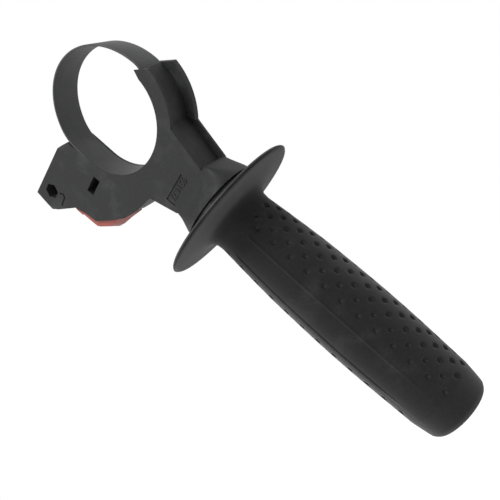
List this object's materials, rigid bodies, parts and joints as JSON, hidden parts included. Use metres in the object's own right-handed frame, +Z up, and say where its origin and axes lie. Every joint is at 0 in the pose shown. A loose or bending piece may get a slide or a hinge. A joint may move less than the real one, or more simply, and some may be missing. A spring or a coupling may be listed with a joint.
{
  "type": "power tool side handle",
  "caption": "Auxiliary side handle that clamps round a drill's collar with a steel strap, with a rubber grip, guard flange and depth rod holder.",
  "frame": {"origin": "centre of the clamp's bore, midway between the clamp body's two flat faces", "axes": "+Y along the bore away from the nameplate side, +Z up from the grip to the top of the strap, +X towards the open arm; the depth rod housing is on the -X side"},
  "size_m": [0.1, 0.072, 0.2279],
  "materials": {
    "body_nylon": "fine moulded grain",
    "grip_nylon": "satin moulded",
    "grip_rubber": "dimpled, matte",
    "button_red": "satin moulded",
    "strap_steel": "dark phosphated, satin",
    "zinc_steel": "zinc plated",
    "pin_steel": "ground",
    "spring_steel": "drawn wire",
    "washer_acetal": "smooth"
  },
  "bodies": {
    "clamp_body": {"clamp_body": "body_nylon", "slide_washer": "washer_acetal", "button_spring_lower": "spring_steel", "button_spring_upper": "spring_steel"},
    "grip": {"grip_core": "grip_nylon", "grip_sleeve": "grip_rubber", "clamp_nut": "zinc_steel", "nut_retainer": "pin_steel", "grip_end_cap": "grip_nylon", "thrust_washer": "zinc_steel"},
    "tension_yoke": {"tension_yoke": "zinc_steel", "tension_stud": "zinc_steel", "stud_lock_pin": "pin_steel", "strap_pin_arm_side": "pin_steel", "strap_pin_gauge_side": "pin_steel", "clamp_band": "strap_steel"},
    "release_button": {"release_button": "button_red", "gauge_lock_bar": "zinc_steel", "lock_bar_pin": "pin_steel"}
  },
  "joints": [
    {"name": "grip_turn", "type": "hinge", "parent": "clamp_body", "child": "grip", "pos_m": [0, 0, 0], "axis": [0, 0, 1], "range_deg": [0, 1440]},
    {"name": "yoke_draw", "type": "slide", "parent": "clamp_body", "child": "tension_yoke", "axis": [0, 0, -1], "range_m": [0, 0.006], "deforming": ["clamp_band"]},
    {"name": "release_press", "type": "slide", "parent": "clamp_body", "child": "release_button", "axis": [0.7071, 0, 0.7071], "range_m": [0, 0.0025], "stiffness_N_per_m": 600, "springref_m": -0.005, "deforming": ["button_spring_lower", "button_spring_upper"]}
  ],
  "couplings": [
    {"joint": "yoke_draw", "follows": "grip_turn", "m_per_rad": 0.0002387}
  ]
}
